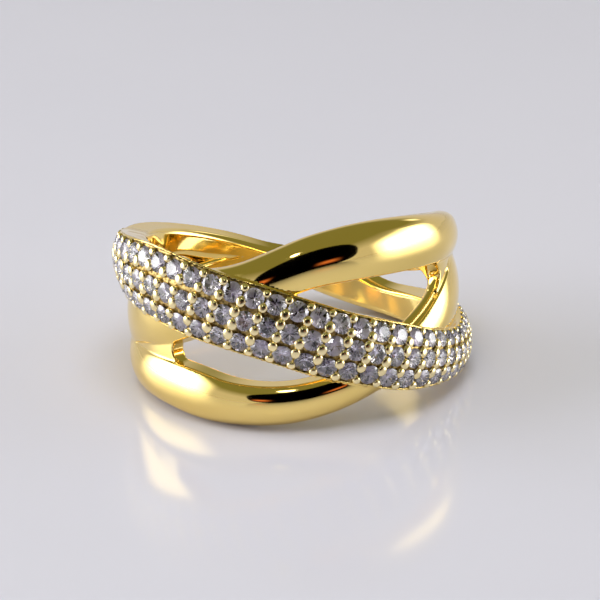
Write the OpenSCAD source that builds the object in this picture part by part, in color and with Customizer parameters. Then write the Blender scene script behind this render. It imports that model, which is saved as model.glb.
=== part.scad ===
// Crossover ring: two plain domed strands and one strand set with three rows of small round stones.
// The ring lies as it rests on a table, with the middle of its finger hole at the origin and the front towards -Y.
// Angles run round the finger hole in degrees: 0 is the front, 90 the right and 180 the back.

/* [Ring] */
// Diameter of the finger hole, mm
bore_d = 17.3; // [16.5:0.1:18.5]
// Lean of the finger hole's axis to the back as the ring rests, degrees
rest_lean = 8.5; // [0:0.5:14]
// Lean to the right as the ring rests, degrees
rest_roll = -0.5; // [-3:0.25:3]
// Share of the stone-set strand's side bevels towards the finger
bevel = 1; // [0:0.1:1.2]

/* [Stones] */
// Diameter of the largest stones, mm
stone_d = 1.2; // [0.9:0.02:1.24]
// Metal left between two stones of a row, mm
stone_gap = 0.16; // [0.14:0.02:0.4]
// Room between a stone and its seat, mm
seat_gap = 0.05; // [0.03:0.01:0.06]

/* [Quality] */
// Degrees from one section of a strand to the next
step = 4.8; // [4.8:0.2:9]

/* [Hidden] */
bore_r = bore_d / 2;
depths = [0.25, 0.35, 0.45, 0.15, 0.20]; // how far each strand and web reaches into the bore before it is cut
gold = [0.90, 0.72, 0.36];
gem = [0.80, 0.80, 0.88];

// One row per section of a strand: angle, lower edge, upper edge, height over the bore of the middle, the lower and
// the upper edge, and how far the side walls spread towards the finger, below and above. Lengths are in mm.
pave_rows = [
    [-165, -0.30,  1.85, 1.50, 1.05, 1.05, -0.50, -0.50],
    [-150,  0.30,  2.72, 1.50, 1.05, 1.05, -0.50, -0.50],
    [-135,  1.05,  3.45, 1.65, 1.15, 1.15, -0.50, -0.50],
    [-120,  1.20,  4.00, 1.95, 1.40, 1.40, -0.50, -0.50],
    [-105,  1.30,  4.30, 2.00, 1.50, 1.50, -0.50, -0.50],
    [ -90,  1.20,  4.75, 2.00, 1.50, 1.50, -0.55, -0.55],
    [ -75,  0.70,  5.02, 2.05, 1.52, 1.52, -0.50, -0.90],
    [ -60,  0.32,  5.12, 2.10, 1.55, 1.55, -0.50, -1.10],
    [ -45, -0.25,  4.65, 2.15, 1.60, 1.60, -0.50, -1.00],
    [ -30, -0.85,  3.85, 2.15, 1.60, 1.60, -0.50, -0.70],
    [ -15, -1.65,  3.05, 2.15, 1.60, 1.60, -0.50, -0.50],
    [   0, -2.68,  2.02, 2.15, 1.60, 1.60, -0.50, -0.50],
    [  15, -3.52,  0.90, 2.15, 1.60, 1.60, -0.50, -0.50],
    [  30, -4.33, -0.05, 2.15, 1.60, 1.60, -0.50, -0.50],
    [  45, -4.70, -1.05, 2.15, 1.60, 1.60, -0.50, -0.50],
    [  60, -4.85, -1.78, 2.10, 1.55, 1.55, -0.50, -0.50],
    [  75, -4.80, -2.00, 2.05, 1.52, 1.52, -0.40, -0.40],
    [  90, -4.50, -1.80, 2.00, 1.50, 1.50, -0.30, -0.30],
    [ 105, -4.20, -1.70, 2.00, 1.50, 1.50, -0.30, -0.15],
    [ 120, -4.05, -1.75, 1.90, 1.40, 1.40, -0.30, -0.15],
    [ 135, -3.75, -1.60, 1.65, 1.15, 1.15, -0.30, -0.15],
    [ 150, -3.25, -0.50, 1.50, 1.05, 1.05, -0.30, -0.30],
    [ 165, -2.45,  0.30, 1.50, 1.05, 1.05, -0.40, -0.40],
    [ 180, -1.15,  0.85, 1.50, 1.05, 1.05, -0.45, -0.45],
];
upper_rows = [
    [-125, -2.10, -0.50, 1.00, 0.60, 0.60,  0.45,  0.00],
    [-105, -2.75,  0.10, 1.42, 1.15, 1.15,  0.45,  0.00],
    [ -90, -2.15,  1.20, 1.48, 1.25, 1.25,  0.45,  0.00],
    [ -75, -1.62,  2.60, 1.48, 1.10, 1.10,  0.45,  0.00],
    [ -55, -0.95,  3.30, 1.45, 1.02, 1.02,  0.45,  0.00],
    [ -30,  0.70,  3.90, 1.50, 1.18, 0.98,  0.45,  0.00],
    [ -15,  1.70,  4.75, 1.51, 1.26, 0.92,  0.45,  0.00],
    [   0,  2.65,  5.57, 1.50, 1.28, 0.90,  0.45,  0.00],
    [  20,  2.83,  5.98, 1.50, 1.26, 0.90,  0.45,  0.00],
    [  40,  2.68,  5.82, 1.51, 1.22, 0.92,  0.45,  0.00],
    [  60,  2.35,  5.30, 1.58, 1.18, 1.02,  0.45,  0.00],
    [  80,  1.90,  4.68, 1.60, 1.12, 1.12,  0.45,  0.00],
    [ 100,  0.60,  3.85, 1.50, 1.05, 1.05,  0.45,  0.00],
    [ 120, -0.15,  3.10, 1.50, 1.05, 1.05,  0.45,  0.00],
    [ 140, -0.35,  2.35, 1.50, 1.05, 1.05,  0.45,  0.00],
    [ 160, -0.60,  1.50, 1.45, 1.00, 1.00,  0.45,  0.00],
    [ 178, -0.70,  0.60, 1.20, 0.80, 0.80,  0.45,  0.00],
];
lower_rows = [
    [-178, -0.60,  0.70, 1.20, 0.80, 0.80,  0.00,  0.10],
    [-160, -1.50,  0.60, 1.45, 1.00, 1.00,  0.00,  0.10],
    [-140, -2.35,  0.35, 1.50, 1.05, 1.05,  0.00,  0.10],
    [-120, -3.10, -0.60, 1.50, 1.15, 1.15,  0.00,  0.10],
    [-100, -3.95, -1.95, 1.48, 1.28, 1.28,  0.00,  0.10],
    [ -80, -4.70, -2.15, 1.53, 1.10, 1.10,  0.00,  0.10],
    [ -60, -5.15, -2.20, 1.53, 1.00, 1.10,  0.00,  0.10],
    [ -45, -5.59, -2.42, 1.53, 0.88, 1.14,  0.00,  0.10],
    [ -30, -5.80, -3.00, 1.53, 0.74, 1.20,  0.00,  0.10],
    [ -10, -5.76, -3.18, 1.52, 0.64, 1.24,  0.00,  0.10],
    [  10, -5.11, -2.60, 1.52, 0.70, 1.24,  0.00,  0.10],
    [  30, -4.00, -1.45, 1.50, 0.84, 1.20,  0.00,  0.10],
    [  50, -3.00,  0.00, 1.45, 1.02, 1.02,  0.00,  0.10],
    [  65, -2.50,  1.15, 1.50, 1.02, 1.02,  0.00,  0.10],
    [  80, -2.20,  2.15, 1.50, 1.00, 1.00,  0.00,  0.10],
    [  92, -1.20,  2.20, 1.50, 1.00, 1.00,  0.00,  0.10],
    [ 105, -0.10,  2.05, 1.35, 0.90, 0.90,  0.00,  0.10],
    [ 125,  0.40,  1.90, 1.00, 0.60, 0.60,  0.00,  0.10],
];
// Flat webs that close the narrow ends of the two openings beside the stone-set strand.
left_web = [
    [-92.0, -2.80, -2.00, 1.00, 0.95, 0.95,  0.00,  0.00],
    [-78.0, -2.80, -1.60, 1.00, 0.95, 0.95,  0.00,  0.00],
    [-52.5, -2.80, -0.50, 0.98, 0.94, 0.94,  0.00,  0.00],
];
right_web = [
    [ 57.5,  0.10,  2.80, 0.98, 0.94, 0.94,  0.00,  0.00],
    [ 78.0,  1.60,  2.80, 1.00, 0.95, 0.95,  0.00,  0.00],
    [ 92.0,  2.00,  2.80, 1.00, 0.95, 0.95,  0.00,  0.00],
];
// One row per row of stones: which side of the middle it is on, and the angle of its first stone.
stone_rows = [
    [ 1,  1.9],
    [ 0, -1.1],
    [-1, -3.9],
];
// The stones run between these angles.
stones_from = -103;
stones_to = 101;

// Tables between their rows

function before(t, a, i = 0) = (i >= len(t) - 2 || a < t[i + 1][0]) ? i : before(t, a, i + 1);
function slope(t, i, c) =
    let(p = max(i - 1, 0), n = min(i + 1, len(t) - 1)) (t[n][c] - t[p][c]) / (t[n][0] - t[p][0]);
function col(t, a, c) =
    let(i = before(t, a), h = t[i + 1][0] - t[i][0], u = (a - t[i][0]) / h, v = 1 - u)
    t[i][c] * v * v * (1 + 2 * u) + t[i + 1][c] * u * u * (1 + 2 * v)
    + h * u * v * (v * slope(t, i, c) - u * slope(t, i + 1, c));
function shifted(row, by) = [for (i = [0:len(row) - 1]) i == 0 ? row[0] + by : row[i]];
function looped(t) =
    concat([for (i = [len(t) - 3:len(t) - 1]) shifted(t[i], -360)], t, [for (i = [0:2]) shifted(t[i], 360)]);

pave = looped(pave_rows);

// Places round the bore

function at(a, r, z) = [r * sin(a), -r * cos(a), z];
function middle(t, a) = (col(t, a, 1) + col(t, a, 2)) / 2;
function half(t, a) = (col(t, a, 2) - col(t, a, 1)) / 2;
function face_r(t, a, z) =
    let(s = (z - middle(t, a)) / half(t, a), low = col(t, a, 4), high = col(t, a, 5))
    bore_r + col(t, a, 3) - (col(t, a, 3) - (low + high) / 2) * s * s + (high - low) / 2 * s;

// A strand is lofted through its sections: inner edge, outer edge, domed face, outer edge, inner edge.

dome = [-1, -0.78, -0.52, -0.26, 0, 0.26, 0.52, 0.78, 1];

function spread(t, a, c) = let(d = col(t, a, c)) d < 0 ? d * bevel : d;
function section(t, inner, a) = concat(
    [at(a, inner, col(t, a, 1) - spread(t, a, 6))],
    [for (s = dome) let(z = middle(t, a) + s * half(t, a)) at(a, face_r(t, a, z), z)],
    [at(a, inner, col(t, a, 2) + spread(t, a, 7))]);

module strand(t, depth, from, to, closed = false) {
    n = len(dome) + 2;
    count = round((to - from) / step);
    rings = closed ? count : count + 1;
    points = [for (k = [0:rings - 1]) each section(t, bore_r - depth, from + (to - from) * k / count)];
    sides = [for (k = [0:count - 1], j = [0:n - 1])
        let(k2 = (k + 1) % rings, j2 = (j + 1) % n)
        each [[k * n + j, k * n + j2, k2 * n + j2], [k * n + j, k2 * n + j2, k2 * n + j]]];
    ends = closed ? [] : concat(
        [for (j = [1:n - 2]) [0, j + 1, j]],
        [for (j = [1:n - 2]) [(rings - 1) * n, (rings - 1) * n + j, (rings - 1) * n + j + 1]]);
    polyhedron(points, concat(sides, ends));
}

module strands() {
    strand(pave, depths[0], -180, 180, closed = true);
    strand(upper_rows, depths[1], -125, 178);
    strand(lower_rows, depths[2], -178, 125);
    web(left_web, depths[3], -51, -1.55, 0.82);
    web(right_web, depths[4], 55.5, 1.52, 0.88);
}

// A web ends in a round notch, given by its angle, height and radius.
module web(t, depth, a, z, r) {
    difference() {
        strand(t, depth, t[0][0], t[2][0]);
        rotate([0, 0, a]) translate([0, -bore_r, z]) rotate([90, 0, 0])
            cylinder(r = r, h = 3, center = true, $fn = 16);
    }
}

// Stones

function lean(a) = atan(slope_at(a) / (bore_r + 1.9));
function slope_at(a) = (middle(pave, a + 2) - middle(pave, a - 2)) / (4 * PI / 180);
function wide(a) = 2 * half(pave, a) * cos(lean(a));
function size_at(a) = min(stone_d, 0.285 * wide(a)) * min(1, bore_d / 17.3);
function offset_at(a) = (wide(a) - size_at(a)) / 2 - 0.05 - 0.1 * (wide(a) - 2.85);
function row_z(side, a) = middle(pave, a) + side * offset_at(a) / cos(lean(a));
function row_run(side, a) =
    let(dz = (row_z(side, a + 1) - row_z(side, a - 1)) / 2) sqrt(pow((bore_r + 1.9) * PI / 180, 2) + dz * dz);
function walk(side, a, way) =
    (a < stones_from || a > stones_to) ? [] :
    concat([a], walk(side, a + way * (size_at(a) + stone_gap) / row_run(side, a), way));
function row_angles(side, first) =
    concat(walk(side, first, 1), walk(side, first - (size_at(first) + stone_gap) / row_run(side, first), -1));

function unit(v) = v / norm(v);
function face_at(a, z) = at(a, face_r(pave, a, z), z);
function frame_of(side, a) =
    let(z = row_z(side, a), e = 0.5,
        u = unit(face_at(a + e, row_z(side, a + e)) - face_at(a - e, row_z(side, a - e))),
        w = face_at(a, z + 0.02) - face_at(a, z - 0.02),
        n = unit(cross(u, w)), v = cross(n, u), p = face_at(a, z))
    [[u[0], v[0], n[0], p[0]], [u[1], v[1], n[1], p[1]], [u[2], v[2], n[2], p[2]], [0, 0, 0, 1]];

module on_rows() {
    for (row = stone_rows)
        for (a = row_angles(row[0], row[1]))
            multmatrix(frame_of(row[0], a)) {
                $size = size_at(a);
                children();
            }
}

// An eight-sided solid with a flat top and a point below, from rows of radius and height.

module eight_sided(rows, tip) {
    last = len(rows) - 1;
    points = concat([for (row = rows, k = [0:7]) [row[0] * cos(45 * k + 22.5), row[0] * sin(45 * k + 22.5), row[1]]],
        [[0, 0, tip]]);
    sides = [for (l = [0:1:last - 1], k = [0:7])
        let(a = l * 8 + k, b = l * 8 + (k + 1) % 8) each [[a, b + 8, a + 8], [a, b, b + 8]]];
    below = [for (k = [0:7]) [last * 8 + k, last * 8 + (k + 1) % 8, last * 8 + 8]];
    polyhedron(points, concat([[7, 6, 5, 4, 3, 2, 1, 0]], sides, below));
}

// A round brilliant: table, eight crown facets, girdle and eight pavilion facets.
module brilliant(d) eight_sided([[0.28 * d, 0.15 * d], [0.5 * d, 0.015 * d], [0.5 * d, -0.015 * d]], -0.43 * d);

module seat(d) eight_sided([[d / 2 + seat_gap, 0.6], [d / 2 + seat_gap, -0.05]], -0.05 - 0.56 * d);

// Nodes

module band() {
    color(gold) rotate([-rest_lean, rest_roll, 0]) difference() {
        resize([0, 0, 0]) strands();
        on_rows() seat($size);
        cylinder(r = bore_r, h = 30, center = true, $fn = 180);
    }
}

module stones() {
    color(gem) rotate([-rest_lean, rest_roll, 0])
        on_rows() translate([0, 0, -0.02]) brilliant($size);
}

band();
stones();
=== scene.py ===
import math

import bpy
import numpy as np
from mathutils import Matrix, Vector


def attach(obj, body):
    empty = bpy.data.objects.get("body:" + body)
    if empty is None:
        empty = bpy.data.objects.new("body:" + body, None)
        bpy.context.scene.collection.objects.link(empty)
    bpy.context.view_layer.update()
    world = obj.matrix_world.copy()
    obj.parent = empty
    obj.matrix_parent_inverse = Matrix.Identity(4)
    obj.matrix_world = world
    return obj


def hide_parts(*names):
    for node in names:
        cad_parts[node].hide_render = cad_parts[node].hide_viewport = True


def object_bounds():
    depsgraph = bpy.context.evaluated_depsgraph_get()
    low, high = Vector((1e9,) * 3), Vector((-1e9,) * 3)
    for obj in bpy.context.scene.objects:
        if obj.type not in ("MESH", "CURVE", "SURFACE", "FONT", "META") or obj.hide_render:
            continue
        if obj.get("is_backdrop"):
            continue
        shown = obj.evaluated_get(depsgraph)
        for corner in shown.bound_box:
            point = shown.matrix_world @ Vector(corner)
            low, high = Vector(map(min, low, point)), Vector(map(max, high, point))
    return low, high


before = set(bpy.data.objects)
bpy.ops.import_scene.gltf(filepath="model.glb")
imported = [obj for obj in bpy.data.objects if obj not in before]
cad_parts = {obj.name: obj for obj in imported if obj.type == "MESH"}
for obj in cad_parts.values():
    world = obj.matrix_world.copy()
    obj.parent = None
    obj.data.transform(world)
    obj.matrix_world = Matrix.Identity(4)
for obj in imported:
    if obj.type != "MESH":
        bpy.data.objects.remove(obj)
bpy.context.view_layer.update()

# Sizes in mm and degrees, in the ring's own frame: Z along the finger hole, angle 0 at the front (-Y) and
# 90 at the right (+X). BORE is the finger hole's radius. The resting ring leans back and rolls to the right.
MM = 0.001
BORE = 8.65
REST_LEAN = 8.5
REST_ROLL = -0.5

# Stones: the largest diameter in the solids, how much larger the stones are drawn, how deep their girdles
# sit and how far they tip, the metal between two of a row, the room round a stone in its seat, the radius
# that a row is measured at, and the angles that the rows run between.
STONE_D = 1.2
STONE_DRAWN = 1.05
STONE_SINK = 0.02
STONE_TIP = 1.2
STONE_GAP = 0.16
SEAT_ROOM = 0.045
ROW_R = BORE + 1.9
STONES_FROM = -103.0
STONES_TO = 101.0

# The stone-set strand's rims, and the depth of the ground between them.
RIM = 0.16
RECESS = 0.14

# How far each strand and web reaches into the bore before it is cut.
PAVE_DEPTH = 0.25
UPPER_DEPTH = 0.35
LOWER_DEPTH = 0.45
LEFT_DEPTH = 0.15
RIGHT_DEPTH = 0.20

# Roundings: of each strand's and web's edge below and above its face, of the notches in the webs, and of the
# joints between the plain strands, with the webs and with the stone-set strand.
PAVE_EDGES = (0.08, 0.08)
UPPER_EDGES = (0.10, 0.55)
LOWER_EDGES = (0.45, 0.10)
WEB_EDGES = (0.05, 0.05)
NOTCH_EDGE = 0.12
PLAIN_JOINT = 0.16
WEB_JOINT = 0.14
PAVE_JOINT = 0.06
# Roundings of the sunk ground: at the rims' feet, at its two ends and at the rims' tops.
GROUND_FOOT = 0.06
GROUND_END = 0.2
GROUND_TOP = 0.05
# Roundings of the step along the lower strand, at its ends and its edges, and of a seat's foot and top.
STEP_END = 0.2
STEP_EDGE = 0.08
SEAT_FOOT = 0.04
SEAT_TOP = 0.05

# Radius that turns an angle into a length where only a rough length is needed.
ROUGH_R = 10
MM_PER_DEGREE = math.radians(ROUGH_R)

# Columns of the strands and webs: angle, lower edge, upper edge, height over the bore of the middle, the
# lower and the upper edge, and how far the side walls spread towards the finger, below and above.
PAVE_ROWS = [
    [-165, -0.30, 1.85, 1.50, 1.05, 1.05, -0.50, -0.50],
    [-150, 0.30, 2.72, 1.50, 1.05, 1.05, -0.50, -0.50],
    [-135, 1.05, 3.45, 1.65, 1.15, 1.15, -0.50, -0.50],
    [-120, 1.20, 4.00, 1.95, 1.40, 1.40, -0.50, -0.50],
    [-105, 1.30, 4.30, 2.00, 1.50, 1.50, -0.50, -0.50],
    [-90, 1.20, 4.75, 2.00, 1.50, 1.50, -0.55, -0.55],
    [-75, 0.70, 5.02, 2.05, 1.52, 1.52, -0.50, -0.90],
    [-60, 0.32, 5.12, 2.10, 1.55, 1.55, -0.50, -1.10],
    [-45, -0.25, 4.65, 2.15, 1.60, 1.60, -0.50, -1.00],
    [-30, -0.85, 3.85, 2.15, 1.60, 1.60, -0.50, -0.70],
    [-15, -1.65, 3.05, 2.15, 1.60, 1.60, -0.50, -0.50],
    [0, -2.68, 2.02, 2.15, 1.60, 1.60, -0.50, -0.50],
    [15, -3.52, 0.90, 2.15, 1.60, 1.60, -0.50, -0.50],
    [30, -4.33, -0.05, 2.15, 1.60, 1.60, -0.50, -0.50],
    [45, -4.70, -1.05, 2.15, 1.60, 1.60, -0.50, -0.50],
    [60, -4.85, -1.78, 2.10, 1.55, 1.55, -0.50, -0.50],
    [75, -4.80, -2.00, 2.05, 1.52, 1.52, -0.40, -0.40],
    [90, -4.50, -1.80, 2.00, 1.50, 1.50, -0.30, -0.30],
    [105, -4.20, -1.70, 2.00, 1.50, 1.50, -0.30, -0.15],
    [120, -4.05, -1.75, 1.90, 1.40, 1.40, -0.30, -0.15],
    [135, -3.75, -1.60, 1.65, 1.15, 1.15, -0.30, -0.15],
    [150, -3.25, -0.50, 1.50, 1.05, 1.05, -0.30, -0.30],
    [165, -2.45, 0.30, 1.50, 1.05, 1.05, -0.40, -0.40],
    [180, -1.15, 0.85, 1.50, 1.05, 1.05, -0.45, -0.45],
]
UPPER_ROWS = [
    [-125, -2.10, -0.50, 1.00, 0.60, 0.60, 0.45, 0.00],
    [-105, -2.75, 0.10, 1.42, 1.15, 1.15, 0.45, 0.00],
    [-90, -2.15, 1.20, 1.48, 1.25, 1.25, 0.45, 0.00],
    [-75, -1.62, 2.60, 1.48, 1.10, 1.10, 0.45, 0.00],
    [-55, -0.95, 3.30, 1.45, 1.02, 1.02, 0.45, 0.00],
    [-30, 0.70, 3.90, 1.50, 1.18, 0.98, 0.45, 0.00],
    [-15, 1.70, 4.75, 1.51, 1.26, 0.92, 0.45, 0.00],
    [0, 2.65, 5.57, 1.50, 1.28, 0.90, 0.45, 0.00],
    [20, 2.83, 5.98, 1.50, 1.26, 0.90, 0.45, 0.00],
    [40, 2.68, 5.82, 1.51, 1.22, 0.92, 0.45, 0.00],
    [60, 2.35, 5.30, 1.58, 1.18, 1.02, 0.45, 0.00],
    [80, 1.90, 4.68, 1.60, 1.12, 1.12, 0.45, 0.00],
    [100, 0.60, 3.85, 1.50, 1.05, 1.05, 0.45, 0.00],
    [120, -0.15, 3.10, 1.50, 1.05, 1.05, 0.45, 0.00],
    [140, -0.35, 2.35, 1.50, 1.05, 1.05, 0.45, 0.00],
    [160, -0.60, 1.50, 1.45, 1.00, 1.00, 0.45, 0.00],
    [178, -0.70, 0.60, 1.20, 0.80, 0.80, 0.45, 0.00],
]
LOWER_ROWS = [
    [-178, -0.60, 0.70, 1.20, 0.80, 0.80, 0.00, 0.10],
    [-160, -1.50, 0.60, 1.45, 1.00, 1.00, 0.00, 0.10],
    [-140, -2.35, 0.35, 1.50, 1.05, 1.05, 0.00, 0.10],
    [-120, -3.10, -0.60, 1.50, 1.15, 1.15, 0.00, 0.10],
    [-100, -3.95, -1.95, 1.48, 1.28, 1.28, 0.00, 0.10],
    [-80, -4.70, -2.15, 1.53, 1.10, 1.10, 0.00, 0.10],
    [-60, -5.15, -2.20, 1.53, 1.00, 1.10, 0.00, 0.10],
    [-45, -5.59, -2.42, 1.53, 0.88, 1.14, 0.00, 0.10],
    [-30, -5.80, -3.00, 1.53, 0.74, 1.20, 0.00, 0.10],
    [-10, -5.76, -3.18, 1.52, 0.64, 1.24, 0.00, 0.10],
    [10, -5.11, -2.60, 1.52, 0.70, 1.24, 0.00, 0.10],
    [30, -4.00, -1.45, 1.50, 0.84, 1.20, 0.00, 0.10],
    [50, -3.00, 0.00, 1.45, 1.02, 1.02, 0.00, 0.10],
    [65, -2.50, 1.15, 1.50, 1.02, 1.02, 0.00, 0.10],
    [80, -2.20, 2.15, 1.50, 1.00, 1.00, 0.00, 0.10],
    [92, -1.20, 2.20, 1.50, 1.00, 1.00, 0.00, 0.10],
    [105, -0.10, 2.05, 1.35, 0.90, 0.90, 0.00, 0.10],
    [125, 0.40, 1.90, 1.00, 0.60, 0.60, 0.00, 0.10],
]
LEFT_ROWS = [
    [-92, -2.80, -2.00, 1.00, 0.95, 0.95, 0.00, 0.00],
    [-78, -2.80, -1.60, 1.00, 0.95, 0.95, 0.00, 0.00],
    [-52.5, -2.80, -0.50, 0.98, 0.94, 0.94, 0.00, 0.00],
]
RIGHT_ROWS = [
    [57.5, 0.10, 2.80, 0.98, 0.94, 0.94, 0.00, 0.00],
    [78, 1.60, 2.80, 1.00, 0.95, 0.95, 0.00, 0.00],
    [92, 2.00, 2.80, 1.00, 0.95, 0.95, 0.00, 0.00],
]
# The round end of the opening that is cut from each web: angle, height and radius.
LEFT_NOTCH = (-51, -1.55, 0.82)
RIGHT_NOTCH = (55.5, 1.52, 0.88)
# The step along the lower strand's upper side: from and to which angle, its width, and its floor's height
# over the bore.
STEP_FROM = 38
STEP_TO = 70
STEP_WIDE = 0.16
STEP_FLOOR = 0.80
# Columns: side of the middle, angle of the first stone.
STONE_ROWS = [
    [1, 1.9],
    [0, -1.1],
    [-1, -3.9],
]


# Tables made smooth

class Strand:
    """The rows of a strand or web as smooth curves over the angle, blurred by sigma degrees."""

    fine = 0.1

    def __init__(self, rows, sigma, depth, edges, loop=False):
        self.depth = depth
        self.edges = edges
        self.loop = loop
        rows = [list(map(float, row)) for row in rows]
        if loop:
            before = [[row[0] - 360] + row[1:] for row in rows[-4:]]
            after = [[row[0] + 360] + row[1:] for row in rows[:4]]
            rows = before + rows + after
        rows = np.array(rows)
        self.first = rows[0, 0]
        self.last = rows[-1, 0]
        self.grid = np.arange(self.first, self.last + self.fine / 2, self.fine)
        reach = int(round(3 * sigma / self.fine))
        steps = np.arange(-reach, reach + 1) * self.fine
        weights = np.exp(-0.5 * (steps / sigma) ** 2)
        weights /= weights.sum()
        self.cols = []
        for c in range(1, rows.shape[1]):
            values = self.hermite(rows[:, 0], rows[:, c], self.grid)
            left = 2 * values[0] - values[reach:0:-1]
            right = 2 * values[-1] - values[-2:-reach - 2:-1]
            padded = np.concatenate([left, values, right])
            self.cols.append(np.convolve(padded, weights, mode="valid"))

    @staticmethod
    def hermite(x, y, a):
        """A smooth curve through the points x, y, read at a."""
        slopes = np.empty(len(x))
        slopes[1:-1] = (y[2:] - y[:-2]) / (x[2:] - x[:-2])
        slopes[0] = (y[1] - y[0]) / (x[1] - x[0])
        slopes[-1] = (y[-1] - y[-2]) / (x[-1] - x[-2])
        i = np.clip(np.searchsorted(x, a, side="right") - 1, 0, len(x) - 2)
        h = x[i + 1] - x[i]
        u = (a - x[i]) / h
        v = 1 - u
        return (y[i] * v * v * (1 + 2 * u) + y[i + 1] * u * u * (1 + 2 * v)
                + h * u * v * (v * slopes[i] - u * slopes[i + 1]))

    def at(self, a, c):
        """Column c after the angle, read at the angle a."""
        return np.interp(a, self.grid, self.cols[c])

    def middle(self, a):
        return (self.at(a, 0) + self.at(a, 1)) / 2

    def half(self, a):
        return (self.at(a, 1) - self.at(a, 0)) / 2


PAVE = Strand(PAVE_ROWS, 3.0, PAVE_DEPTH, PAVE_EDGES, loop=True)
UPPER = Strand(UPPER_ROWS, 4.0, UPPER_DEPTH, UPPER_EDGES)
LOWER = Strand(LOWER_ROWS, 4.0, LOWER_DEPTH, LOWER_EDGES)
WEB_LEFT = Strand(LEFT_ROWS, 2.0, LEFT_DEPTH, WEB_EDGES)
WEB_RIGHT = Strand(RIGHT_ROWS, 2.0, RIGHT_DEPTH, WEB_EDGES)


# Stones along the stone-set strand

def face_r(t, a, z):
    """Radius of a strand's domed face."""
    s = (z - t.middle(a)) / t.half(a)
    low, high = t.at(a, 3), t.at(a, 4)
    return BORE + t.at(a, 2) - (t.at(a, 2) - (low + high) / 2) * s * s + (high - low) / 2 * s


def at(a, r, z):
    """The point at an angle, radius and height."""
    a = math.radians(a)
    return Vector((r * math.sin(a), -r * math.cos(a), z))


def lean_at(a):
    """Slope of the strand's course, as an angle in radians."""
    rise = (PAVE.middle(a + 2) - PAVE.middle(a - 2)) / math.radians(4)
    return np.arctan(rise / ROW_R)


def width_at(a):
    """Width of the strand, square to its course."""
    return 2 * PAVE.half(a) * math.cos(float(lean_at(a)))


def size_at(a):
    """Diameter of a stone, smaller where the strand is narrow."""
    return min(STONE_D, 0.285 * width_at(a))


def row_z(side, a):
    """Height of a row's middle line; the outer rows keep near the rims."""
    wide = width_at(a)
    offset = (wide - size_at(a)) / 2 - 0.05 - 0.1 * (wide - 2.85)
    return PAVE.middle(a) + side * offset / math.cos(float(lean_at(a)))


def row_run(side, a):
    """Length of a row over one degree."""
    dz = (row_z(side, a + 1) - row_z(side, a - 1)) / 2
    return math.hypot(math.radians(ROW_R), dz)


def row_step(side, a):
    return (size_at(a) + STONE_GAP) / row_run(side, a)


def row_angles(side, first):
    """Angles of a row's stones, laid both ways from the first."""
    out = []
    a = first
    while a <= STONES_TO:
        out.append(a)
        a += row_step(side, a)
    a = first - row_step(side, first)
    while a >= STONES_FROM:
        out.append(a)
        a -= row_step(side, a)
    return sorted(out)


def frame_at(side, a, z=None):
    """Columns along the row, across it and outwards, and the place, on the strand's face."""
    def on(b, h):
        return at(b, float(face_r(PAVE, b, h)), h)
    z = row_z(side, a) if z is None else z
    dz = row_z(side, a + 0.5) - row_z(side, a - 0.5)
    along = (on(a + 0.5, z + dz / 2) - on(a - 0.5, z - dz / 2)).normalized()
    across = on(a, z + 0.02) - on(a, z - 0.02)
    out = along.cross(across).normalized()
    across = out.cross(along)
    return Matrix((along, across, out)).transposed(), on(a, z)


# Rows of angle, height, size, turn and place, one for each stone.
STONES = []
for side, first in STONE_ROWS:
    for a in row_angles(side, first):
        turn, place = frame_at(side, a)
        STONES.append((a, row_z(side, a), size_at(a), turn, place))


# The metal as one field of distance, in mm, below zero inside

def smax(a, b, k):
    """The larger of two fields, rounded over a width of k."""
    h = np.maximum(k - np.abs(a - b), 0) / k
    return np.maximum(a, b) + h * h * k / 4


def smin(a, b, k):
    return -smax(-a, -b, k)


def walls(t, a, r):
    """Slopes of the lower and the upper side wall, and their heights at the radius."""
    go_low = t.at(a, 5) / (t.at(a, 3) + t.depth)
    go_high = t.at(a, 6) / (t.at(a, 4) + t.depth)
    return (go_low, go_high, t.at(a, 0) - go_low * (BORE + t.at(a, 3) - r),
            t.at(a, 1) + go_high * (BORE + t.at(a, 4) - r))


def strand_field(t, a, r, z):
    """A strand between its domed face and its two side walls, cut off at its ends where it isn't a loop."""
    low = t.at(a, 0)
    high = t.at(a, 1)
    top = t.at(a, 2)
    dome = top - (t.at(a, 3) + t.at(a, 4)) / 2
    tilt = (t.at(a, 4) - t.at(a, 3)) / 2
    middle = (low + high) / 2
    half = np.maximum((high - low) / 2, 0.05)
    s = (z - middle) / half
    bend = (2 * dome * s - tilt) / half
    face = (r - BORE - top + dome * s * s - tilt * s) / np.sqrt(1 + bend * bend)
    rise = (t.at(a + 1, 0) + t.at(a + 1, 1) - t.at(a - 1, 0) - t.at(a - 1, 1)) / 2 / math.radians(2)
    slant = np.cos(np.arctan(rise / ROUGH_R))
    go_low, go_high, wall_low, wall_high = walls(t, a, r)
    below = (wall_low - z) * slant / np.sqrt(1 + go_low * go_low)
    above = (z - wall_high) * slant / np.sqrt(1 + go_high * go_high)
    f = smax(smax(face, below, t.edges[0]), above, t.edges[1])
    if not t.loop:
        f = np.maximum(f, np.maximum(t.first - a, a - t.last) * MM_PER_DEGREE)
    return f


def web_field(t, a, r, z, notch):
    """A flat web with the round end of the opening cut from it."""
    notch_a, notch_z, notch_r = notch
    f = strand_field(t, a, r, z)
    way = np.hypot(np.radians(a - notch_a) * BORE, z - notch_z)
    return smax(f, notch_r - way, NOTCH_EDGE)


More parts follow.
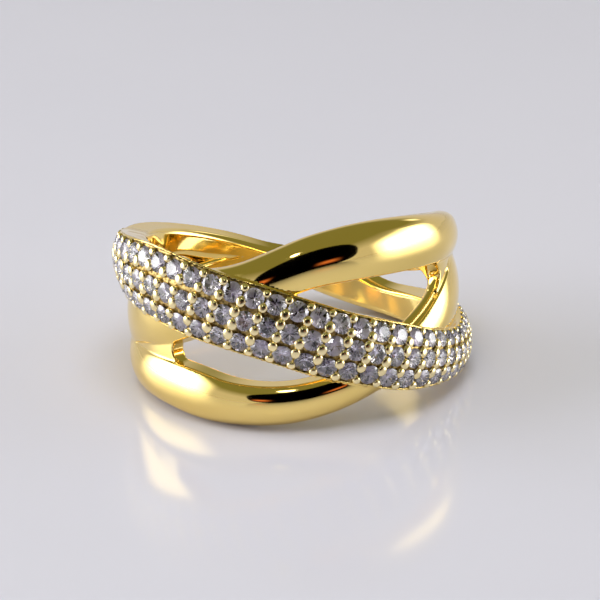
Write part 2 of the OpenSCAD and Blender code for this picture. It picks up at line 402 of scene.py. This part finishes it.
def pave_field(a, r, z):
    """The stone-set strand, sunk between its two rims where the stones sit."""
    f = strand_field(PAVE, a, r, z)
    aside = (np.abs(z - PAVE.middle(a)) - PAVE.half(a)) * np.cos(lean_at(a)) + RIM
    under = face_r(PAVE, a, z) - RECESS - r
    along = np.maximum(STONES_FROM - 2 - a, a - STONES_TO - 2) * MM_PER_DEGREE
    sunk = smax(smax(aside, under, GROUND_FOOT), along, GROUND_END)
    return smax(f, -sunk, GROUND_TOP)


def lower_field(a, r, z):
    """The lower strand, with the small step along its upper side at the right."""
    f = strand_field(LOWER, a, r, z)
    step = smax(LOWER.at(a, 1) - STEP_WIDE - z, BORE + STEP_FLOOR - r, STEP_EDGE)
    along = np.maximum(STEP_FROM - a, a - STEP_TO) * MM_PER_DEGREE
    return smax(f, -smax(step, along, STEP_END), STEP_EDGE)


def hole_edge(a):
    """Rounding of the finger hole's edge, more from 110 degrees to the back and round the right web at 61."""
    back = np.clip((np.abs(a) - 110) / 30, 0, 1)
    web = np.exp(-((a - 61) / 20) ** 2)
    return 0.22 + 0.13 * back + 0.5 * web


def back_fade(a):
    """How far the plain strands sink away at the back, from 162 degrees on, so that their ends don't show."""
    return 0.5 * np.clip((np.abs(a) - 162) / 16, 0, 1) ** 2


def metal_field(a, r, z):
    """All the metal without the stones' seats."""
    plain = smin(strand_field(UPPER, a, r, z), lower_field(a, r, z), PLAIN_JOINT) + back_fade(a)
    plain = smin(plain, web_field(WEB_LEFT, a, r, z, LEFT_NOTCH), WEB_JOINT)
    plain = smin(plain, web_field(WEB_RIGHT, a, r, z, RIGHT_NOTCH), WEB_JOINT)
    f = smin(plain, pave_field(a, r, z), PAVE_JOINT)
    return smax(f, BORE - r, hole_edge(a))


def nearest(a, z, places):
    """Which of the places (angle, z) is nearest on the unrolled face, for a part of the points at a time."""
    face = 10.5
    part = 20000
    flat_a = np.radians(a).ravel() * face
    flat_z = z.ravel()
    out = np.empty(flat_a.shape, np.int32)
    place_a = np.radians(places[:, 0]) * face
    for i in range(0, len(out), part):
        da = flat_a[i:i + part, None] - place_a
        dz = flat_z[i:i + part, None] - places[:, 1]
        out[i:i + part] = (da ** 2 + dz ** 2).argmin(1)
    return out.reshape(a.shape)


STONE_AT = np.array([[a, z] for a, z, size, turn, place in STONES])
STONE_SIZE = np.array([size for a, z, size, turn, place in STONES])
STONE_TURN = np.array([np.array(turn) for a, z, size, turn, place in STONES])
STONE_PLACE = np.array([np.array(place) for a, z, size, turn, place in STONES])


def seats_field(a, r, z, which):
    """The nearest stone's seat: a round wall over a cone."""
    rad = np.radians(a)
    p = np.stack([r * np.sin(rad), -r * np.cos(rad), z + 0 * rad], -1)
    q = p - STONE_PLACE[which]
    q = np.einsum("...ji,...j->...i", STONE_TURN[which], q)
    size = STONE_SIZE[which]
    way = np.hypot(q[..., 0], q[..., 1])
    wall = way - (size / 2 + SEAT_ROOM)
    cone = (way - (size / 2 + SEAT_ROOM) - (q[..., 2] + 0.03) * 0.9) * 0.74
    return smax(wall, cone, SEAT_FOOT)


def surface_net(values):
    """Vertices in grid steps and quads of the surface where the values pass zero; the first axis is a loop."""
    values = np.concatenate([values, values[:1]], 0)
    inside = values < 0
    nx, ny, nz = (n - 1 for n in values.shape)
    count = np.zeros((nx, ny, nz), np.int8)
    corners = [(i, j, k) for i in (0, 1) for j in (0, 1) for k in (0, 1)]
    for i, j, k in corners:
        count += inside[i:i + nx, j:j + ny, k:k + nz]
    active = (count > 0) & (count < 8)
    ci, cj, ck = np.nonzero(active)
    index = np.full((nx, ny, nz), -1, np.int64)
    index[active] = np.arange(len(ci))
    total = np.zeros((len(ci), 3))
    hits = np.zeros(len(ci))
    for axis in range(3):
        for i, j, k in corners:
            if (i, j, k)[axis]:
                continue
            end = [i, j, k]
            end[axis] = 1
            fa = values[ci + i, cj + j, ck + k]
            fb = values[ci + end[0], cj + end[1], ck + end[2]]
            crossed = (fa < 0) != (fb < 0)
            t = np.where(crossed, fa / np.where(crossed, fa - fb, 1), 0)
            spot = np.tile(np.array([i, j, k], float), (len(ci), 1))
            spot[:, axis] = t
            total += spot * crossed[:, None]
            hits += crossed
    verts = total / hits[:, None] + np.stack([ci, cj, ck], -1)
    quads = []
    for axis in range(3):
        one = [slice(None)] * 3
        two = [slice(None)] * 3
        one[axis] = slice(0, -1)
        two[axis] = slice(1, None)
        change = inside[tuple(one)] != inside[tuple(two)]
        for other in range(3):
            if other == axis:
                continue
            edge = [slice(None)] * 3
            edge[other] = -1
            change[tuple(edge)] = False
            if other:
                edge[other] = 0
                change[tuple(edge)] = False
        e = np.stack(np.nonzero(change), -1)
        u, v = [(1, 2), (2, 0), (0, 1)][axis]
        ring = []
        for du, dv in ((-1, -1), (0, -1), (0, 0), (-1, 0)):
            c = e.copy()
            c[:, u] += du
            c[:, v] += dv
            c[:, 0] %= nx
            ring.append(index[c[:, 0], c[:, 1], c[:, 2]])
        ring = np.stack(ring, -1)
        flip = inside[e[:, 0], e[:, 1], e[:, 2]]
        ring[flip] = ring[flip][:, ::-1]
        quads.append(ring)
    return verts, np.concatenate(quads)


def full_field(a, r, z, which):
    """All the metal, with the nearest stone's seat cut from it."""
    f = metal_field(a, r, z)
    return smax(f, -seats_field(a, r, z, which), SEAT_TOP)


def gradient(a, r, z, which, step=0.002):
    """Slope of the field along the angle (per mm), the radius and the height."""
    da = np.degrees(step / r)
    ga = full_field(a + da, r, z, which) - full_field(a - da, r, z, which)
    gr = full_field(a, r + step, z, which) - full_field(a, r - step, z, which)
    gz = full_field(a, r, z + step, which) - full_field(a, r, z - step, which)
    return np.stack([ga, gr, gz], -1) / (2 * step)


def settle(p, rounds):
    """Moves the points (angle, radius, height) onto the surface, and returns them with their slopes."""
    a, r, z = p.T.copy()
    which = nearest(a, z, STONE_AT)
    for i in range(rounds):
        f = full_field(a, r, z, which)
        g = gradient(a, r, z, which)
        way = np.clip(-f / np.maximum((g * g).sum(-1), 0.1), -0.06, 0.06)
        a = a + np.degrees(way * g[:, 0] / r)
        r = r + way * g[:, 1]
        z = z + way * g[:, 2]
    return np.stack([a, r, z], -1), gradient(a, r, z, which)


# From the ring's own frame to the one that it rests in.
REST = Matrix.Rotation(math.radians(REST_ROLL), 3, "Y") @ Matrix.Rotation(math.radians(-REST_LEAN), 3, "X")


def to_place(p):
    """Points (angle, radius, height) as places in metres."""
    rad = np.radians(p[:, 0])
    flat = np.stack([p[:, 1] * np.sin(rad), -p[:, 1] * np.cos(rad), p[:, 2]], -1)
    return flat @ np.array(REST).T * MM


def to_normal(p, g):
    """Slopes of the field as normals."""
    rad = np.radians(p[:, 0])
    way = np.stack([g[:, 0] * np.cos(rad) + g[:, 1] * np.sin(rad),
                    g[:, 0] * np.sin(rad) - g[:, 1] * np.cos(rad), g[:, 2]], -1)
    way /= np.linalg.norm(way, axis=1, keepdims=True)
    return way @ np.array(REST).T


def from_place(co):
    """Places in metres as points (angle, radius, height)."""
    p = co / MM @ np.array(REST)
    return np.stack([np.degrees(np.arctan2(p[:, 0], -p[:, 1])), np.hypot(p[:, 0], p[:, 1]), p[:, 2]], -1)


def new_piece(name, verts, faces, material, replaced=()):
    """A piece of the ring, which stands for the replaced nodes."""
    mesh = bpy.data.meshes.new(name)
    mesh.from_pydata(verts, [], faces)
    mesh.materials.append(material)
    obj = bpy.data.objects.new(name, mesh)
    bpy.context.scene.collection.objects.link(obj)
    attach(obj, "root")
    for node in replaced:
        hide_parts(node)
    return obj


# Grid that the metal's surface is found on, each row from, to and step: angles where the stones are, the
# other angles, radii and heights.
STONE_TURNS = (-124, 104, 0.62)
OTHER_TURNS = (104.2, 235.6, 1.1)
RADII = (8.52, 11.0, 0.105)
HEIGHTS = (-5.95, 6.25, 0.105)
MOST_TRIANGLES = 190000


def build_band(material):
    turns = np.concatenate([np.arange(*STONE_TURNS), np.arange(*OTHER_TURNS)])
    radii = np.arange(*RADII)
    heights = np.arange(*HEIGHTS)
    a = turns[:, None, None]
    a = (a + 180) % 360 - 180
    z = heights[None, None, :]
    flat_a, flat_z = np.broadcast_arrays(a[:, 0], z[:, 0])
    which = nearest(flat_a, flat_z, STONE_AT)[:, None, :]
    a, r, z, which = np.broadcast_arrays(a, radii[None, :, None], z, which)
    values = full_field(a, r, z, which)
    verts, quads = surface_net(values)
    turns = np.append(turns, turns[0] + 360)
    steps = np.arange(len(turns))
    p = np.stack([np.interp(verts[:, 0], steps, turns),
                  np.interp(verts[:, 1], np.arange(len(radii)), radii),
                  np.interp(verts[:, 2], np.arange(len(heights)), heights)], -1)
    p[:, 0] = (p[:, 0] + 180) % 360 - 180
    p, g = settle(p, 3)
    return new_piece("polished_band", to_place(p), quads.tolist(), material, ["band"])


def thin_out(obj, most):
    """Fewer triangles where the surface is flat."""
    mesh = obj.data
    mesh.calc_loop_triangles()
    have = len(mesh.loop_triangles)
    if have > most:
        mod = obj.modifiers.new("thin", "DECIMATE")
        mod.ratio = most / have
        done = bpy.data.meshes.new_from_object(obj.evaluated_get(bpy.context.evaluated_depsgraph_get()))
        obj.modifiers.clear()
        done.name = mesh.name
        obj.data = done
        bpy.data.meshes.remove(mesh)


def dress_band(obj):
    """Puts the thinned mesh back on the surface, with the surface's own normals."""
    mesh = obj.data
    co = np.empty(len(mesh.vertices) * 3)
    mesh.vertices.foreach_get("co", co)
    p, g = settle(from_place(co.reshape(-1, 3)), 2)
    mesh.vertices.foreach_set("co", to_place(p).ravel())
    mesh.polygons.foreach_set("use_smooth", np.ones(len(mesh.polygons), bool))
    mesh.normals_split_custom_set_from_vertices(to_normal(p, g).tolist())
    mesh.update()


def mark_sunk(obj, material):
    """Gives the metal sunk between the stones its own material, rough as cast and darkened as painted shade;
    the side walls keep the polish.
    """
    aside = 0.1
    under = 0.05
    floor = BORE + 0.6
    beyond = 4
    mesh = obj.data
    mesh.materials.append(material)
    centres = np.empty(len(mesh.polygons) * 3)
    mesh.polygons.foreach_get("center", centres)
    a, r, z = from_place(centres.reshape(-1, 3)).T
    wall_low, wall_high = walls(PAVE, a, r)[2:]
    sunk = (z > wall_low + aside) & (z < wall_high - aside)
    sunk &= (r < face_r(PAVE, a, z) - under) & (r > floor)
    sunk &= (a > STONES_FROM - beyond) & (a < STONES_TO + beyond)
    mesh.polygons.foreach_set("material_index", sunk.astype(np.int32))


# Stones as round brilliants

# Rings of points of a stone one unit across, its girdle at height 0: how many, their radius and height, and
# the first one's angle.
TABLE_RING = (8, 0.285, 0.155, 0)
STAR_RING = (8, 0.39, 0.105, 22.5)
GIRDLE_UP = (16, 0.5, 0.015, 0)
GIRDLE_LOW = (16, 0.5, -0.015, 0)
PAVILION_RING = (8, 0.135, -0.33, 22.5)
CULET = (0, 0, -0.43)


def ring_points(n, radius, height, start):
    """Points evenly round a circle."""
    angles = [math.radians(start + 360 * k / n) for k in range(n)]
    return [(radius * math.cos(t), radius * math.sin(t), height) for t in angles]


def brilliant():
    """Points and faces of a stone, and the first point of its lower half."""
    points = []
    firsts = []
    for row in (TABLE_RING, STAR_RING, GIRDLE_UP, GIRDLE_LOW, PAVILION_RING):
        firsts.append(len(points))
        points.extend(ring_points(*row))
    t, s, u, g, p = firsts
    tip = len(points)
    points.append(CULET)
    faces = [[t + k for k in range(8)]]
    for k in range(8):
        n = (k + 1) % 8
        b = (k - 1) % 8
        faces.append([t + k, s + k, t + n])
        faces.append([t + k, s + b, u + 2 * k, s + k])
        faces.append([s + k, u + 2 * k, u + 2 * k + 1])
        faces.append([s + k, u + 2 * k + 1, u + 2 * n])
        faces.append([g + 2 * k, p + b, g + (2 * k - 1) % 16])
        faces.append([g + 2 * k, g + 2 * k + 1, p + k])
        faces.append([g + 2 * k, p + k, tip, p + b])
    for k in range(16):
        n = (k + 1) % 16
        faces.append([u + k, g + k, g + n, u + n])
    return points, faces, g


def build_stones(crown, backs, shares):
    """The crowns are clear, and each lower facet and the girdle have one of the backs, by their shares."""
    points, faces, first_low = brilliant()
    points = np.array(points)
    verts = []
    all_faces = []
    look = []
    slots = [k + 1 for k in range(len(backs))]
    rng = np.random.default_rng(7)
    for a, z, size, turn, place in STONES:
        spin = Matrix.Rotation(rng.uniform(0, math.pi / 4), 3, "Z")
        tip_a, tip_b = rng.normal(0, math.radians(STONE_TIP), 2)
        tip = Matrix.Rotation(tip_a, 3, "X") @ Matrix.Rotation(tip_b, 3, "Y")
        way = REST @ turn @ tip @ spin
        lift = REST @ (place + turn @ Vector((0, 0, -STONE_SINK)))
        base = len(verts)
        verts.extend((points * size * STONE_DRAWN @ np.array(way).T + np.array(lift)) * MM)
        all_faces.extend([[base + i for i in face] for face in faces])
        for face in faces:
            lower = max(face) >= first_low
            look.append(int(rng.choice(slots, p=shares)) if lower else 0)
    obj = new_piece("cut_stones", verts, all_faces, crown, ["stones"])
    for back in backs:
        obj.data.materials.append(back)
    obj.data.polygons.foreach_set("material_index", np.array(look, np.int32))
    return obj


# Bead prongs between two stones of a row, one above the row's middle and one below

# By where a bead stands, 1 for the upper rim, 0 for between the rows and -1 for the lower rim: its distance
# from the row's middle, and its radius, in stone diameters.
BEAD_FAR = {1: 0.38, 0: 0.33, -1: 0.40}
BEAD_R = {1: 0.215, 0: 0.266, -1: 0.235}
# How much the radius varies, and how long the beads between the rows are.
BEAD_VARY = (0.93, 1.08)
BEAD_LONG = (1.04, 1.22)
# How far the foot of a bead at a rim leans inwards, to stay within the strand.
BEAD_LEAN = 0.8
BEAD_SIDES = 14
# Columns: radius, height over the strand's face, in parts of the bead's radius. The last point is the top.
BEAD_ROWS = [
    [0.80, -1.15],
    [1.00, -0.45],
    [1.00, 0.02],
    [0.94, 0.30],
    [0.76, 0.50],
    [0.43, 0.62],
]
BEAD_TOP = 0.66


def bead_places():
    """Rows of angle, height, size of the stones beside it, and which rim it stands at."""
    out = []
    for side, first in STONE_ROWS:
        angles = row_angles(side, first)
        angles = [2 * angles[0] - angles[1]] + angles + [2 * angles[-1] - angles[-2]]
        for b, c in zip(angles, angles[1:]):
            a = (b + c) / 2
            size = size_at(a)
            turn, place = frame_at(side, a)
            for up in (1, -1):
                edge = up if side == up else 0
                spot = place + turn @ Vector((0, up * size * BEAD_FAR[edge], 0))
                out.append((math.degrees(math.atan2(spot.x, -spot.y)), spot.z, size, edge))
    return out


def build_beads(material):
    """Round-topped posts that stand on the sunk ground."""
    n = BEAD_SIDES
    verts = []
    faces = []
    rng = np.random.default_rng(11)
    for a, z, size, edge in bead_places():
        turn, place = frame_at(0, a, z)
        rad = BEAD_R[edge] * size * rng.uniform(*BEAD_VARY)
        long = 1.0 if edge else rng.uniform(*BEAD_LONG)
        way = np.array(REST @ turn)
        lift = np.array(REST @ place)
        points = []
        for wide, high in BEAD_ROWS:
            lean = edge * BEAD_LEAN * min(high, 0)
            for k in range(n):
                t = 2 * math.pi * k / n
                points.append([wide * math.cos(t), wide * math.sin(t) * long + lean, high])
        points.append([0, 0, BEAD_TOP])
        base = len(verts)
        verts.extend(((np.array(points) * rad @ way.T + lift) * MM).tolist())
        last = base + (len(BEAD_ROWS) - 1) * n
        for first in range(base, last, n):
            for k in range(n):
                m = (k + 1) % n
                faces.append([first + k, first + m, first + n + m, first + n + k])
        for k in range(n):
            faces.append([last + k, last + (k + 1) % n, last + n])
    obj = new_piece("bead_prongs", verts, faces, material)
    obj.data.polygons.foreach_set("use_smooth", np.ones(len(faces), bool))
    return obj


# Materials

def noisy(name, metallic, roughness, scale, detail, low, high, span=(0.0, 1.0), more=None):
    """A material whose tint runs from low to high with a noise, and its roughness where that is a range."""
    mat = bpy.data.materials.new(name)
    mat.use_nodes = True
    tree = mat.node_tree
    shader = tree.nodes["Principled BSDF"]
    shader.inputs["Metallic"].default_value = metallic
    for socket, value in (more or {}).items():
        shader.inputs[socket].default_value = value
    place = tree.nodes.new("ShaderNodeTexCoord")
    noise = tree.nodes.new("ShaderNodeTexNoise")
    noise.inputs["Scale"].default_value = scale
    noise.inputs["Detail"].default_value = detail
    tree.links.new(place.outputs["Object"], noise.inputs["Vector"])
    if isinstance(roughness, tuple):
        rough = tree.nodes.new("ShaderNodeMapRange")
        rough.inputs["To Min"].default_value = roughness[0]
        rough.inputs["To Max"].default_value = roughness[1]
        tree.links.new(noise.outputs["Fac"], rough.inputs["Value"])
        tree.links.new(rough.outputs["Result"], shader.inputs["Roughness"])
    else:
        shader.inputs["Roughness"].default_value = roughness
    tint = tree.nodes.new("ShaderNodeValToRGB")
    ends = tint.color_ramp.elements
    ends[0].position = span[0]
    ends[0].color = (*low, 1)
    ends[1].position = span[1]
    ends[1].color = (*high, 1)
    tree.links.new(noise.outputs["Fac"], tint.inputs["Fac"])
    tree.links.new(tint.outputs["Color"], shader.inputs["Base Color"])
    return mat


def facet_back(name, low, high, roughness):
    """A lower facet, which sends the light back through the crown."""
    return noisy(name, 1.0, roughness, 2500.0, 2.0, low, high, (0.35, 0.65))


# The band, the ground between the stones, the beads, the stones' crowns and the floor.
POLISH = noisy("gold_polish", 1.0, (0.04, 0.09), 900.0, 3.0, (0.95, 0.71, 0.23), (0.97, 0.74, 0.26))
# The sunk ground's gold: rough as cast, and darkened as painted shade for the hollows between the stones.
SUNK_GOLD_CAST_AND_SHADE = noisy("gold_as_cast_painted_shade", 1.0, (0.34, 0.52), 5000.0, 4.0, (0.14, 0.09, 0.03), (0.78, 0.57, 0.21),
                (0.38, 0.62))
# The beads' gold is rougher, as burnished, and paler than the band's gold as a painted highlight.
BEAD_GOLD_PALED_AS_HIGHLIGHT = noisy("gold_beads_painted_highlight", 1.0, (0.16, 0.30), 1600.0, 2.0, (0.97, 0.80, 0.40), (0.99, 0.86, 0.50))
ZIRCONIA = noisy("zirconia", 0.0, 0.0, 700.0, 2.0, (0.97, 0.95, 1.0), (1.0, 0.99, 1.0),
                 more={"IOR": 2.15, "Transmission Weight": 1.0})
FLOOR = noisy("pale_sheet", 0.0, 0.1, 30.0, 2.0, (0.61, 0.61, 0.745), (0.64, 0.64, 0.775), more={"IOR": 1.3})
# The stones' lower facets are mirrors of three kinds, each with its share; the dark kind is painted shade.
BACKS = [
    facet_back("back_pale", (0.90, 0.85, 1.0), (0.97, 0.94, 1.0), 0.42),
    facet_back("back_bright", (0.95, 0.94, 1.0), (1.0, 1.0, 1.0), 0.02),
    # Dark lower facets: painted shade, for facets that reflect nothing bright.
    facet_back("back_painted_dark", (0.05, 0.04, 0.08), (0.18, 0.15, 0.22), 0.12),
]
BACK_SHARES = [0.44, 0.42, 0.14]

band = build_band(POLISH)
thin_out(band, MOST_TRIANGLES)
dress_band(band)
mark_sunk(band, SUNK_GOLD_CAST_AND_SHADE)
build_stones(ZIRCONIA, BACKS, BACK_SHARES)
build_beads(BEAD_GOLD_PALED_AS_HIGHLIGHT)


# Stage, camera and lights

def stage_plane(name, centre, size, facing, mat, square=0.0):
    """A flat plane, or where square isn't 0 a rounded one, 2 for an ellipse and more for straighter sides."""
    mesh = bpy.data.meshes.new(name)
    w, h = size[0] / 2, size[1] / 2
    points = [(-w, -h, 0), (w, -h, 0), (w, h, 0), (-w, h, 0)]
    if square:
        points = []
        for c, s, flat in ring_points(64, 1.0, 0, 0):
            x = math.copysign(abs(c) ** (2 / square), c) * w
            y = math.copysign(abs(s) ** (2 / square), s) * h
            points.append((x, y, 0))
    mesh.from_pydata(points, [], [tuple(range(len(points)))])
    mesh.materials.append(mat)
    obj = bpy.data.objects.new(name, mesh)
    bpy.context.scene.collection.objects.link(obj)
    obj.location = centre
    obj.rotation_mode = "QUATERNION"
    obj.rotation_quaternion = Vector(facing).to_track_quat("Z", "Y")
    obj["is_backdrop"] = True
    return obj


low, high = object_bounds()
stage_plane("floor", (0, 0, low[2]), (4, 4), (0, 0, 1), FLOOR)

# The camera, as the ring's perspective gives it: turned about the finger hole, raised over the ring's own
# plane and rolled, in degrees, and its distance in mm. Then the picture's pixels per mm at the ring, its
# size, and the pixel that the middle of the finger hole falls on.
CAMERA_TURN = 6.5
CAMERA_UP = 14.5
CAMERA_ROLL = -3.5
CAMERA_WAY = 240.0
IMAGE_SCALE = 16.4
IMAGE_SIZE = 600
IMAGE_AT = (292.5, 292.0)
SENSOR = 36

turned = (Matrix.Rotation(math.radians(CAMERA_TURN), 3, "Z") @ REST.inverted()).transposed()
up, roll = math.radians(CAMERA_UP), math.radians(CAMERA_ROLL)
across = turned @ Vector((1, 0, 0))
upward = turned @ Vector((0, math.sin(up), math.cos(up)))
away = turned @ Vector((0, math.cos(up), -math.sin(up)))
right = across * math.cos(roll) + upward * math.sin(roll)
top = upward * math.cos(roll) - across * math.sin(roll)
aim = (right * (IMAGE_SIZE / 2 - IMAGE_AT[0]) - top * (IMAGE_SIZE / 2 - IMAGE_AT[1])) / IMAGE_SCALE
camera_data = bpy.data.cameras.new("camera")
camera = bpy.data.objects.new("camera", camera_data)
bpy.context.scene.collection.objects.link(camera)
camera_data.sensor_width = SENSOR
camera_data.lens = SENSOR * IMAGE_SCALE * CAMERA_WAY / IMAGE_SIZE
camera_data.clip_start = 0.01
camera_data.clip_end = 10
camera.rotation_mode = "QUATERNION"
camera.location = (aim - away * CAMERA_WAY) * MM
camera.rotation_quaternion = Matrix((right, top, -away)).transposed().to_quaternion()
bpy.context.scene.camera = camera


def glow(name, color, strength, soft):
    """An emission that fades to its edges over the given share of the card, or fills it."""
    mat = bpy.data.materials.new(name)
    mat.use_nodes = True
    tree = mat.node_tree
    tree.nodes.remove(tree.nodes["Principled BSDF"])
    shine = tree.nodes.new("ShaderNodeEmission")
    shine.inputs["Color"].default_value = (*color, 1)
    shine.inputs["Strength"].default_value = strength
    out = tree.nodes["Material Output"]
    if not soft:
        tree.links.new(shine.outputs["Emission"], out.inputs["Surface"])
        return mat
    place = tree.nodes.new("ShaderNodeTexCoord")
    split = tree.nodes.new("ShaderNodeSeparateXYZ")
    tree.links.new(place.outputs["Generated"], split.inputs["Vector"])
    parts = []
    for axis in "XY":
        ping = tree.nodes.new("ShaderNodeMath")
        ping.operation = "PINGPONG"
        ping.inputs[1].default_value = 0.5
        tree.links.new(split.outputs[axis], ping.inputs[0])
        fade = tree.nodes.new("ShaderNodeMapRange")
        fade.interpolation_type = "SMOOTHSTEP"
        fade.inputs["From Max"].default_value = soft
        tree.links.new(ping.outputs["Value"], fade.inputs["Value"])
        parts.append(fade.outputs["Result"])
    both = tree.nodes.new("ShaderNodeMath")
    both.operation = "MULTIPLY"
    tree.links.new(parts[0], both.inputs[0])
    tree.links.new(parts[1], both.inputs[1])
    clear = tree.nodes.new("ShaderNodeBsdfTransparent")
    mix = tree.nodes.new("ShaderNodeMixShader")
    tree.links.new(both.outputs["Value"], mix.inputs["Fac"])
    tree.links.new(clear.outputs["BSDF"], mix.inputs[1])
    tree.links.new(shine.outputs["Emission"], mix.inputs[2])
    tree.links.new(mix.outputs["Shader"], out.inputs["Surface"])
    return mat


def toward(azimuth, elevation):
    """The direction from the ring to a card or light, azimuth 0 at the front and 90 at the right."""
    a, e = math.radians(azimuth), math.radians(elevation)
    return Vector((math.sin(a) * math.cos(e), -math.cos(a) * math.cos(e), math.sin(e)))


def card(name, azimuth, elevation, distance, size, color, strength, soft, square):
    """A studio card that faces the ring, seen only in what it lights and in reflections."""
    way = toward(azimuth, elevation)
    obj = stage_plane(name, way * distance, size, -way, glow(name, color, strength, soft), square)
    obj.visible_camera = False


def area_light(name, azimuth, elevation, distance, size, power, color):
    """A light that faces the ring and shows in no reflection."""
    way = toward(azimuth, elevation)
    data = bpy.data.lights.new(name, "AREA")
    data.shape = "RECTANGLE"
    data.size, data.size_y = size
    data.energy = power
    data.color = color
    obj = bpy.data.objects.new(name, data)
    bpy.context.scene.collection.objects.link(obj)
    obj.location = way * distance
    obj.rotation_mode = "QUATERNION"
    obj.rotation_quaternion = way.to_track_quat("Z", "Y")
    obj.visible_glossy = False


BOX_WHITE = (0.98, 0.98, 1.0)
RED = (1.0, 0.28, 0.12)
# Columns: name, azimuth, elevation, distance, width and height, colour, strength, share that fades to the
# edges, and squareness, or 0 for a plain rectangle.
CARDS = [
    ["left_box", -102, 14, 0.50, (0.80, 0.52), BOX_WHITE, 6.0, 0.35, 0.0],
    ["right_box", 84, 6, 0.50, (0.70, 0.36), BOX_WHITE, 6.0, 0.35, 0.0],
    ["back_box", 138, 27, 0.48, (0.15, 0.11), BOX_WHITE, 2.0, 0.5, 0.0],
    ["dark_opening", -1, 19, 0.45, (0.73, 0.35), (0.01, 0.01, 0.01), 0.0, 0.0, 3.0],
    ["red_left", -32, 9, 0.44, (0.12, 0.08), RED, 0.8, 0.45, 0.0],
    ["red_right", 17, 8, 0.44, (0.18, 0.08), RED, 0.7, 0.45, 0.0],
    ["small_light", -22, 43, 0.44, (0.06, 0.035), (1.0, 1.0, 1.0), 10.0, 0.0, 2.0],
]
area_light("fill", 0, 80, 0.22, (0.15, 0.15), 0.31, (1.0, 0.975, 0.91))
for row in CARDS:
    card(*row)

# The tent's inside: pale at the sides and dim at the top.
world = bpy.data.worlds.new("studio")
bpy.context.scene.world = world
world.use_nodes = True
tree = world.node_tree
place = tree.nodes.new("ShaderNodeTexCoord")
split = tree.nodes.new("ShaderNodeSeparateXYZ")
tree.links.new(place.outputs["Generated"], split.inputs["Vector"])
tent = tree.nodes.new("ShaderNodeValToRGB")
tent.color_ramp.elements[0].position = 0.28
tent.color_ramp.elements[0].color = (0.62, 0.60, 0.63, 1)
tent.color_ramp.elements[1].position = 0.52
tent.color_ramp.elements[1].color = (0.22, 0.22, 0.09, 1)
tree.links.new(split.outputs["Z"], tent.inputs["Fac"])
tree.links.new(tent.outputs["Color"], tree.nodes["Background"].inputs["Color"])
tree.nodes["Background"].inputs["Strength"].default_value = 1.0

shown = bpy.context.scene.view_settings
shown.view_transform = "Standard"
shown.look = "None"

low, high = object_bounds()
